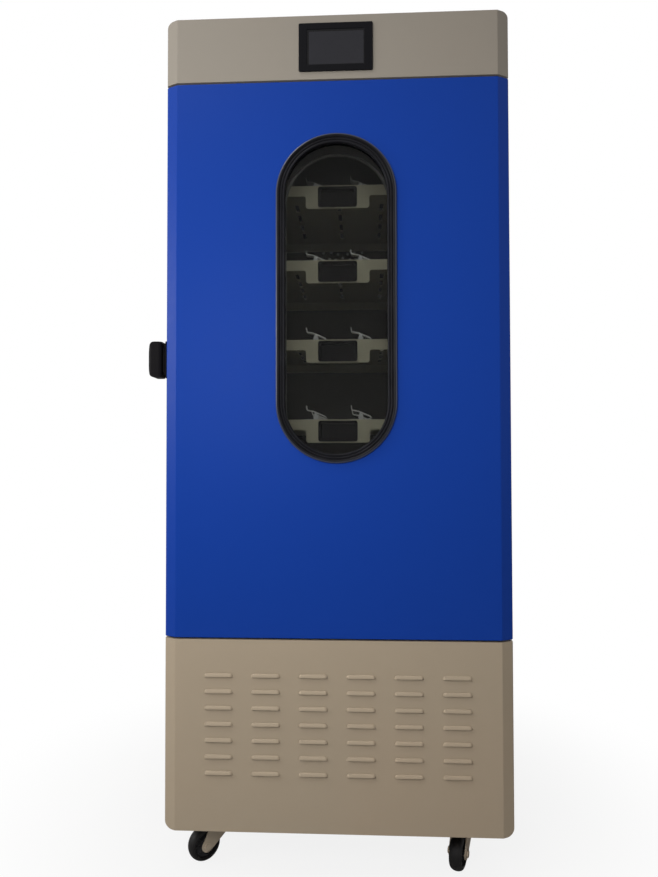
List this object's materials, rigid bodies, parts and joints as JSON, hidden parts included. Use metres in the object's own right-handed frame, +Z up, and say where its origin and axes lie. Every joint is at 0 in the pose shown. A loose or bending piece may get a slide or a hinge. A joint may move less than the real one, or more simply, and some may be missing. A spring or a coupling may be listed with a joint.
{
  "type": "constant temperature chamber",
  "caption": "Upright insulated chamber on casters with an oblong window in its door, touch panel, clip trays on runners, louvred cooling base and swing latch.",
  "frame": {"origin": "on the floor under the centre of the cabinet", "axes": "+Z up, +X to the viewer's right, the door faces -Y"},
  "size_m": [0.675, 0.6262, 1.596],
  "materials": {
    "beige_paint": "fine satin powder coat",
    "blue_paint": "satin powder coat",
    "frame_steel": "satin",
    "stainless": "brushed",
    "zinc_steel": "zinc plated",
    "foam": "rigid foam",
    "motor_metal": "cast",
    "fin_metal": "bare fins and tubes",
    "heater_sheath": "heat tinted",
    "pot_black": "semi-gloss enamel",
    "black_plastic": "fine moulded texture",
    "screen_glass": "glossy",
    "box_grey": "satin",
    "tray_paint": "satin",
    "rubber_black": "matte",
    "glass": "clear",
    "caster_steel": "satin",
    "tyre_black": "matte",
    "fan_metal": "satin"
  },
  "bodies": {
    "cabinet": {"outer_casing": "beige_paint", "rear_panel": "beige_paint", "control_fascia": "beige_paint", "base_fascia": "beige_paint", "base_frame": "frame_steel", "insulation": "foam", "chamber_liner": "stainless", "duct_cover": "stainless", "fan_motor": "motor_metal", "heater": "heater_sheath", "evaporator": "fin_metal", "compressor": "pot_black", "condenser": "fin_metal", "tray_runners": "zinc_steel", "hinge_brackets": "zinc_steel", "hmi_bezel": "black_plastic", "hmi_screen": "screen_glass", "controller_box": "box_grey", "striker": "zinc_steel", "tray_1": "tray_paint", "tray_2": "tray_paint", "tray_3": "tray_paint", "tray_4": "tray_paint", "tray_pulls": "black_plastic", "clip_bases": "zinc_steel"},
    "door": {"door_shell": "blue_paint", "door_core": "foam", "door_liner": "stainless", "window_gasket": "rubber_black", "outer_pane": "glass", "inner_pane": "glass", "door_seal": "rubber_black", "latch_base": "black_plastic"},
    "latch": {"latch_lever": "black_plastic"},
    "circulation_fan": {"circulation_fan": "fan_metal"},
    "condenser_fan": {"condenser_fan": "fan_metal"},
    "caster_front_left": {"caster_fork_front_left": "caster_steel"},
    "wheel_front_left": {"caster_wheel_front_left": "tyre_black"},
    "caster_front_right": {"caster_fork_front_right": "caster_steel"},
    "wheel_front_right": {"caster_wheel_front_right": "tyre_black"},
    "caster_rear_left": {"caster_fork_rear_left": "caster_steel"},
    "wheel_rear_left": {"caster_wheel_rear_left": "tyre_black"},
    "caster_rear_right": {"caster_fork_rear_right": "caster_steel"},
    "wheel_rear_right": {"caster_wheel_rear_right": "tyre_black"},
    "levers_1a": {"clip_levers_1a": "zinc_steel"},
    "levers_1b": {"clip_levers_1b": "zinc_steel"},
    "levers_1c": {"clip_levers_1c": "zinc_steel"},
    "levers_1d": {"clip_levers_1d": "zinc_steel"},
    "levers_2a": {"clip_levers_2a": "zinc_steel"},
    "levers_2b": {"clip_levers_2b": "zinc_steel"},
    "levers_2c": {"clip_levers_2c": "zinc_steel"},
    "levers_2d": {"clip_levers_2d": "zinc_steel"},
    "levers_3a": {"clip_levers_3a": "zinc_steel"},
    "levers_3b": {"clip_levers_3b": "zinc_steel"},
    "levers_3c": {"clip_levers_3c": "zinc_steel"},
    "levers_3d": {"clip_levers_3d": "zinc_steel"},
    "levers_4a": {"clip_levers_4a": "zinc_steel"},
    "levers_4b": {"clip_levers_4b": "zinc_steel"},
    "levers_4c": {"clip_levers_4c": "zinc_steel"},
    "levers_4d": {"clip_levers_4d": "zinc_steel"}
  },
  "joints": [
    {"name": "door_hinge", "type": "hinge", "parent": "cabinet", "child": "door", "pos_m": [0.3, -0.282, 0.438], "axis": [0, 0, 1], "range_deg": [0, 110]},
    {"name": "latch_pivot", "type": "hinge", "parent": "door", "child": "latch", "pos_m": [-0.329, -0.285, 0.956], "axis": [0, 0, 1], "range_deg": [-4, 30], "stiffness_Nm_per_rad": 0.4, "springref_deg": -6.88},
    {"name": "circulation_fan_spin", "type": "hinge", "parent": "cabinet", "child": "circulation_fan", "pos_m": [0, 0.172, 1.238], "axis": [0, 1, 0], "continuous": true},
    {"name": "condenser_fan_spin", "type": "hinge", "parent": "cabinet", "child": "condenser_fan", "pos_m": [0.15, 0.24, 0.238], "axis": [0, 1, 0], "continuous": true},
    {"name": "swivel_front_left", "type": "hinge", "parent": "cabinet", "child": "caster_front_left", "pos_m": [-0.236, -0.228, 0.073], "axis": [0, 0, 1], "continuous": true},
    {"name": "roll_front_left", "type": "hinge", "parent": "caster_front_left", "child": "wheel_front_left", "pos_m": [-0.25854, -0.24625, 0.0315], "axis": [0.6293, -0.7771, 0], "continuous": true},
    {"name": "swivel_front_right", "type": "hinge", "parent": "cabinet", "child": "caster_front_right", "pos_m": [0.236, -0.228, 0.073], "axis": [0, 0, 1], "continuous": true},
    {"name": "roll_front_right", "type": "hinge", "parent": "caster_front_right", "child": "wheel_front_right", "pos_m": [0.22514, -0.25489, 0.0315], "axis": [0.9272, -0.3746, 0], "continuous": true},
    {"name": "swivel_rear_left", "type": "hinge", "parent": "cabinet", "child": "caster_rear_left", "pos_m": [-0.236, 0.228, 0.073], "axis": [0, 0, 1], "continuous": true},
    {"name": "roll_rear_left", "type": "hinge", "parent": "caster_rear_left", "child": "wheel_rear_left", "pos_m": [-0.26325, 0.21808, 0.0315], "axis": [0.342, -0.9397, 0], "continuous": true},
    {"name": "swivel_rear_right", "type": "hinge", "parent": "cabinet", "child": "caster_rear_right", "pos_m": [0.236, 0.228, 0.073], "axis": [0, 0, 1], "continuous": true},
    {"name": "roll_rear_right", "type": "hinge", "parent": "caster_rear_right", "child": "wheel_rear_right", "pos_m": [0.21775, 0.20546, 0.0315], "axis": [0.7771, -0.6293, 0], "continuous": true},
    {"name": "clip_1a", "type": "hinge", "parent": "cabinet", "child": "levers_1a", "pos_m": [-0.135, -0.193, 0.857], "axis": [0, -1, 0], "range_deg": [0, 24], "stiffness_Nm_per_rad": 0.15, "springref_deg": -28.65},
    {"name": "clip_1b", "type": "hinge", "parent": "cabinet", "child": "levers_1b", "pos_m": [-0.045, -0.193, 0.857], "axis": [0, -1, 0], "range_deg": [0, 24], "stiffness_Nm_per_rad": 0.15, "springref_deg": -28.65},
    {"name": "clip_1c", "type": "hinge", "parent": "cabinet", "child": "levers_1c", "pos_m": [0.045, -0.193, 0.857], "axis": [0, -1, 0], "range_deg": [0, 24], "stiffness_Nm_per_rad": 0.15, "springref_deg": -28.65},
    {"name": "clip_1d", "type": "hinge", "parent": "cabinet", "child": "levers_1d", "pos_m": [0.135, -0.193, 0.857], "axis": [0, -1, 0], "range_deg": [0, 24], "stiffness_Nm_per_rad": 0.15, "springref_deg": -28.65},
    {"name": "clip_2a", "type": "hinge", "parent": "cabinet", "child": "levers_2a", "pos_m": [-0.135, -0.193, 1.014], "axis": [0, -1, 0], "range_deg": [0, 24], "stiffness_Nm_per_rad": 0.15, "springref_deg": -28.65},
    {"name": "clip_2b", "type": "hinge", "parent": "cabinet", "child": "levers_2b", "pos_m": [-0.045, -0.193, 1.014], "axis": [0, -1, 0], "range_deg": [0, 24], "stiffness_Nm_per_rad": 0.15, "springref_deg": -28.65},
    {"name": "clip_2c", "type": "hinge", "parent": "cabinet", "child": "levers_2c", "pos_m": [0.045, -0.193, 1.014], "axis": [0, -1, 0], "range_deg": [0, 24], "stiffness_Nm_per_rad": 0.15, "springref_deg": -28.65},
    {"name": "clip_2d", "type": "hinge", "parent": "cabinet", "child": "levers_2d", "pos_m": [0.135, -0.193, 1.014], "axis": [0, -1, 0], "range_deg": [0, 24], "stiffness_Nm_per_rad": 0.15, "springref_deg": -28.65},
    {"name": "clip_3a", "type": "hinge", "parent": "cabinet", "child": "levers_3a", "pos_m": [-0.135, -0.193, 1.171], "axis": [0, -1, 0], "range_deg": [0, 24], "stiffness_Nm_per_rad": 0.15, "springref_deg": -28.65},
    {"name": "clip_3b", "type": "hinge", "parent": "cabinet", "child": "levers_3b", "pos_m": [-0.045, -0.193, 1.171], "axis": [0, -1, 0], "range_deg": [0, 24], "stiffness_Nm_per_rad": 0.15, "springref_deg": -28.65},
    {"name": "clip_3c", "type": "hinge", "parent": "cabinet", "child": "levers_3c", "pos_m": [0.045, -0.193, 1.171], "axis": [0, -1, 0], "range_deg": [0, 24], "stiffness_Nm_per_rad": 0.15, "springref_deg": -28.65},
    {"name": "clip_3d", "type": "hinge", "parent": "cabinet", "child": "levers_3d", "pos_m": [0.135, -0.193, 1.171], "axis": [0, -1, 0], "range_deg": [0, 24], "stiffness_Nm_per_rad": 0.15, "springref_deg": -28.65},
    {"name": "clip_4a", "type": "hinge", "parent": "cabinet", "child": "levers_4a", "pos_m": [-0.135, -0.193, 1.319], "axis": [0, -1, 0], "range_deg": [0, 24], "stiffness_Nm_per_rad": 0.15, "springref_deg": -28.65},
    {"name": "clip_4b", "type": "hinge", "parent": "cabinet", "child": "levers_4b", "pos_m": [-0.045, -0.193, 1.319], "axis": [0, -1, 0], "range_deg": [0, 24], "stiffness_Nm_per_rad": 0.15, "springref_deg": -28.65},
    {"name": "clip_4c", "type": "hinge", "parent": "cabinet", "child": "levers_4c", "pos_m": [0.045, -0.193, 1.319], "axis": [0, -1, 0], "range_deg": [0, 24], "stiffness_Nm_per_rad": 0.15, "springref_deg": -28.65},
    {"name": "clip_4d", "type": "hinge", "parent": "cabinet", "child": "levers_4d", "pos_m": [0.135, -0.193, 1.319], "axis": [0, -1, 0], "range_deg": [0, 24], "stiffness_Nm_per_rad": 0.15, "springref_deg": -28.65}
  ]
}
